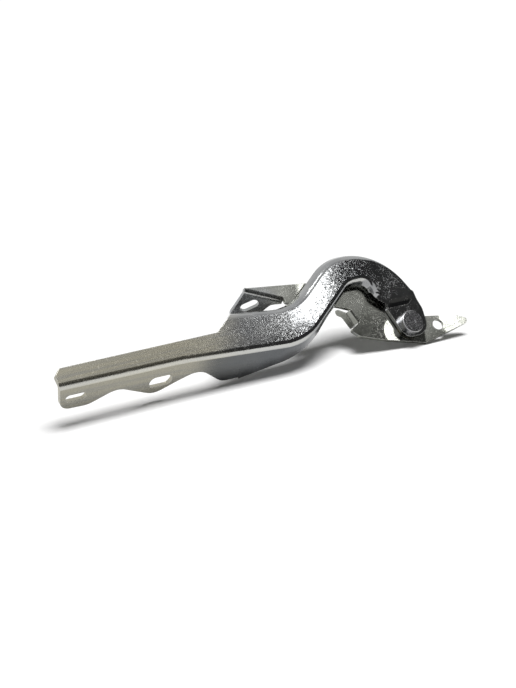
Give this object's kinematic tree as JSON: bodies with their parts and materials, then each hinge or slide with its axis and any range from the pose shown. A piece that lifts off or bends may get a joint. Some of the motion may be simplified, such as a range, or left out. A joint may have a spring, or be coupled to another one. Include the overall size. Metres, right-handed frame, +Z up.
{
  "type": "car bonnet hinge",
  "caption": "Zinc-plated pressed-steel car bonnet hinge: a swan-necked angle arm riveted to a bent wall bracket, with slots and a bolt hole for fixing to bonnet and body.",
  "frame": {"origin": "centre of the bracket's round bolt hole, half-way through the sheet", "axes": "+X along the arm from its free end towards the pivot, +Z up from the bench the hinge lies on, +Y away from the side that shows the rivet's head"},
  "size_m": [0.3462, 0.0605, 0.0664],
  "materials": {
    "plated_sheet": "zinc plated, semi-bright, mottled",
    "rivet_steel": "zinc plated, darker, turned",
    "bush_liner": "sintered bronze liner"
  },
  "bodies": {
    "bonnet_side": {"hinge_arm": "plated_sheet", "pivot_bush": "bush_liner"},
    "body_side": {"body_bracket": "plated_sheet", "pivot_rivet": "rivet_steel", "tail_washer": "rivet_steel"}
  },
  "joints": [
    {"name": "hinge_pivot", "type": "hinge", "parent": "bonnet_side", "child": "body_side", "pos_m": [-0.02669, 0.00116, 0.006], "axis": [0.0104, -0.7501, 0.6612], "range_deg": [-42, 18]}
  ]
}
